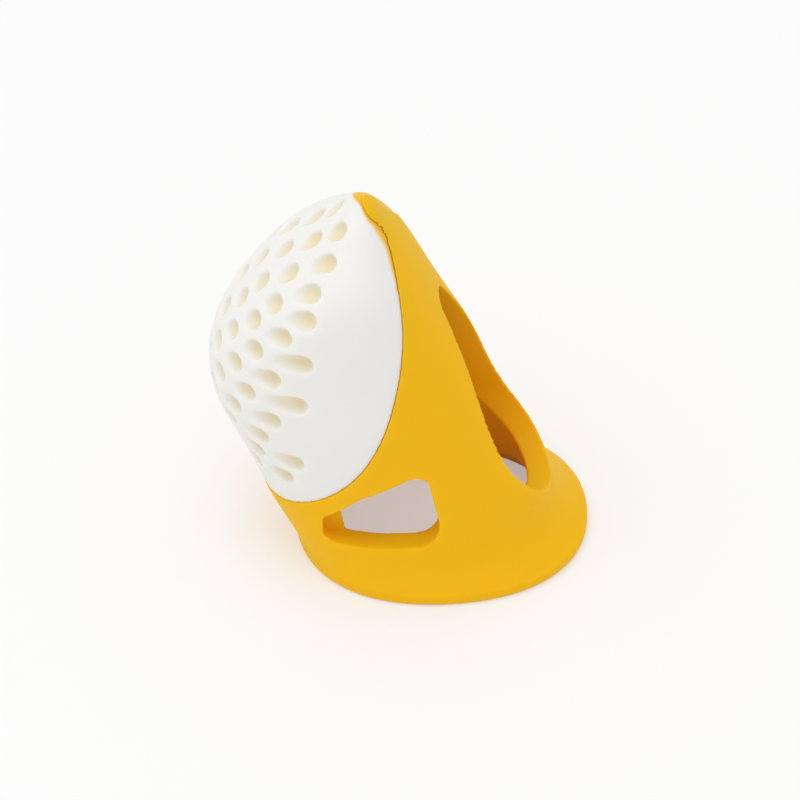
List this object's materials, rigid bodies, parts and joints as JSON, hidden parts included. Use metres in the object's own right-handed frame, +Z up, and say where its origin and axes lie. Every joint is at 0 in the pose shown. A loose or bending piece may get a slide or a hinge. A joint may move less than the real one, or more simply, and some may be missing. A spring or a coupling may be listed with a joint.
{
  "type": "thimble",
  "caption": "Leaning fingertip thimble: a hard dimpled cap over the pad and tip, set in a soft open sleeve with a flared foot, side windows and a nail slot.",
  "frame": {"origin": "bottom centre of the overall box, in the plane that the foot stands on", "axes": "+Z up from the foot to the fingertip, +X towards the nail side, -X towards the dimpled pad side, +Y towards the side away from the near window"},
  "size_m": [0.0298, 0.0208, 0.0323],
  "materials": {
    "cap_plastic": "satin white",
    "sleeve_rubber": "soft matte golden yellow"
  },
  "bodies": {
    "root": {"dimpled_cap": "cap_plastic", "grip_sleeve": "sleeve_rubber"}
  },
  "joints": []
}
